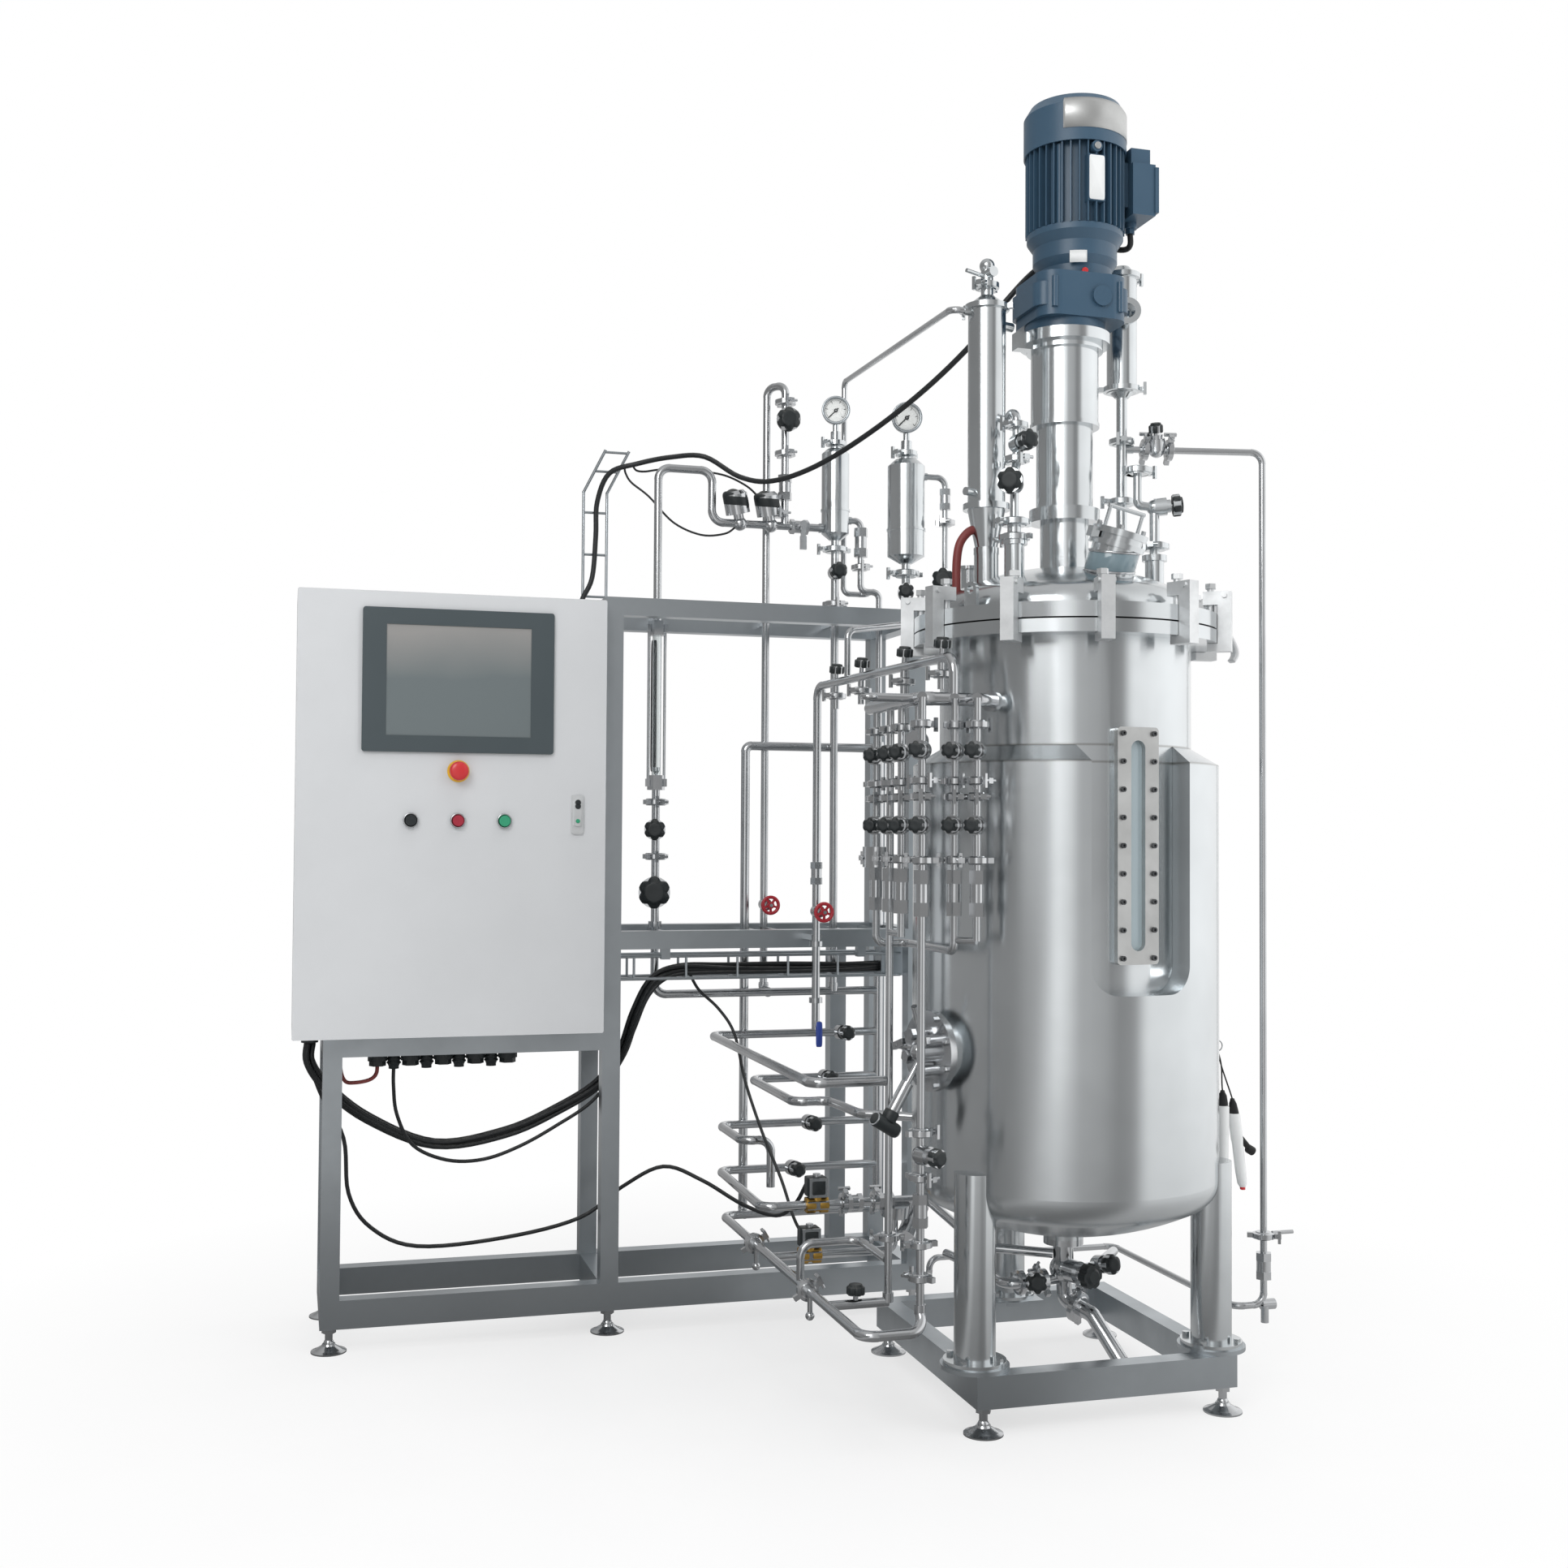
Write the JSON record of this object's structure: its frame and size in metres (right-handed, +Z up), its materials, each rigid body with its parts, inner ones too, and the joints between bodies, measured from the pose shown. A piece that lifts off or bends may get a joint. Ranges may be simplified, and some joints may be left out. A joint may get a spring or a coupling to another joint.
{
  "type": "pilot stirred tank bioreactor",
  "caption": "Skid-mounted stirred-tank bioreactor: jacketed vessel with window, top-drive agitator and condensers, instrument rack, control cabinet, steam and air pipework.",
  "frame": {"origin": "on the floor under the middle of the whole unit", "axes": "+X along the rack from the cabinet to the vessel, +Y from the vessel back to the rack, +Z up"},
  "size_m": [2.002, 1.2803, 2.566],
  "materials": {
    "satin_steel": "satin bead-blasted stainless",
    "bright_steel": "bright drawn stainless",
    "polished_steel": "polished stainless",
    "blue_paint": "slate blue machine enamel",
    "cowl_paint": "slate blue enamel on sheet steel",
    "grey_paint": "light grey powder coat",
    "zinc_steel": "zinc plated",
    "red_paint": "red enamel",
    "bezel_plastic": "dark grey moulded frame",
    "screen": "unlit display",
    "black_plastic": "black moulding",
    "red_plastic": "red moulding",
    "green_plastic": "green moulding",
    "white_plastic": "white polymer",
    "black_rubber": "black jacket",
    "glass": "clear glass"
  },
  "bodies": {
    "root": {"rack_frame": "satin_steel", "levelling_feet": "bright_steel", "vessel_base": "satin_steel", "vessel_legs": "polished_steel", "vessel_shell": "polished_steel", "jacket": "polished_steel", "window_frame": "satin_steel", "window_glass": "glass", "window_bolts": "bright_steel", "baffles": "polished_steel", "sparger": "polished_steel", "lid": "polished_steel", "lid_gasket": "black_rubber", "lid_clamps": "bright_steel", "shaft_seal": "bright_steel", "lantern": "satin_steel", "gear_unit": "blue_paint", "motor_body": "blue_paint", "fan_cowl": "cowl_paint", "terminal_box": "blue_paint", "sight_port": "polished_steel", "exhaust_condenser": "polished_steel", "side_condenser": "polished_steel", "filter_housing_a": "polished_steel", "filter_housing_b": "polished_steel", "filter_cartridges": "white_plastic", "pressure_gauges": "bright_steel", "rotameter": "bright_steel", "rotameter_tube": "glass", "cabinet_body": "grey_paint", "mounting_plate": "zinc_steel", "cable_glands": "black_plastic", "cable_ladder": "satin_steel", "motor_cable": "black_rubber", "cabinet_loom": "black_rubber", "floor_cable": "black_rubber", "sensor_cable": "black_rubber", "air_line": "bright_steel", "manifold": "bright_steel", "utility_lines": "bright_steel", "return_line": "bright_steel", "drain_line": "bright_steel", "side_port": "bright_steel"},
    "agitator": {"agitator": "polished_steel"},
    "fan": {"motor_fan": "black_plastic"},
    "pointer_a": {"gauge_pointer_a": "black_plastic"},
    "pointer_b": {"gauge_pointer_b": "black_plastic"},
    "float": {"rotameter_float": "bright_steel"},
    "door": {"cabinet_door": "grey_paint", "touch_panel": "bezel_plastic", "panel_screen": "screen"},
    "stop_button": {"emergency_stop": "red_plastic"},
    "black_button": {"button_black": "black_plastic"},
    "red_button": {"button_red": "red_plastic"},
    "green_button": {"button_green": "green_plastic"},
    "latch": {"door_latch": "bright_steel"},
    "wheel_a": {"handwheel_a": "red_paint"},
    "wheel_b": {"handwheel_b": "red_paint"},
    "drain_handle": {"drain_knob": "black_plastic"},
    "lever": {"air_lever": "bright_steel"}
  },
  "joints": [
    {"name": "agitator_spin", "type": "hinge", "parent": "root", "child": "agitator", "pos_m": [0.473, -0.31775, 1.7], "axis": [0, 0, 1], "continuous": true},
    {"name": "fan_spin", "type": "hinge", "parent": "root", "child": "fan", "pos_m": [0.495, -0.31775, 2.504], "axis": [0, 0, 1], "continuous": true},
    {"name": "pointer_a_turn", "type": "hinge", "parent": "root", "child": "pointer_a", "pos_m": [0.239, 0.46275, 2.115], "axis": [0.2425, 0.9701, 0], "range_deg": [0, 270]},
    {"name": "pointer_b_turn", "type": "hinge", "parent": "root", "child": "pointer_b", "pos_m": [0.289, 0.10225, 2.018], "axis": [0.2425, 0.9701, 0], "range_deg": [0, 270]},
    {"name": "float_rise", "type": "slide", "parent": "root", "child": "float", "axis": [0, 0, 1], "range_m": [0, 0.3]},
    {"name": "door_swing", "type": "hinge", "parent": "root", "child": "door", "pos_m": [-1.001, 0.26025, 1.135], "axis": [0, 0, -1], "range_deg": [0, 110]},
    {"name": "stop_push", "type": "slide", "parent": "door", "child": "stop_button", "axis": [0, 1, 0], "range_m": [0, 0.004]},
    {"name": "black_push", "type": "slide", "parent": "door", "child": "black_button", "axis": [0, 1, 0], "range_m": [0, 0.004], "stiffness_N_per_m": 900},
    {"name": "red_push", "type": "slide", "parent": "door", "child": "red_button", "axis": [0, 1, 0], "range_m": [0, 0.004], "stiffness_N_per_m": 900},
    {"name": "green_push", "type": "slide", "parent": "door", "child": "green_button", "axis": [0, 1, 0], "range_m": [0, 0.004], "stiffness_N_per_m": 900},
    {"name": "latch_turn", "type": "hinge", "parent": "door", "child": "latch", "pos_m": [-0.413, 0.24125, 1.123], "axis": [0, -1, 0], "range_deg": [0, 90]},
    {"name": "wheel_a_turn", "type": "hinge", "parent": "root", "child": "wheel_a", "pos_m": [0.079, 0.44875, 0.93], "axis": [0, -1, 0], "range_deg": [0, 720]},
    {"name": "wheel_b_turn", "type": "hinge", "parent": "root", "child": "wheel_b", "pos_m": [0.129, 0.18625, 0.925], "axis": [0, -1, 0], "range_deg": [0, 720]},
    {"name": "drain_turn", "type": "hinge", "parent": "root", "child": "drain_handle", "pos_m": [0.473, -0.31775, 0.24228], "axis": [0.3304, -0.9439, 0], "range_deg": [0, 720]},
    {"name": "lever_turn", "type": "hinge", "parent": "root", "child": "lever", "pos_m": [0.148, 0.42835, 1.83], "axis": [0, -1, 0], "range_deg": [0, 90]}
  ],
  "couplings": [
    {"joint": "fan_spin", "follows": "agitator_spin", "ratio": 5}
  ]
}
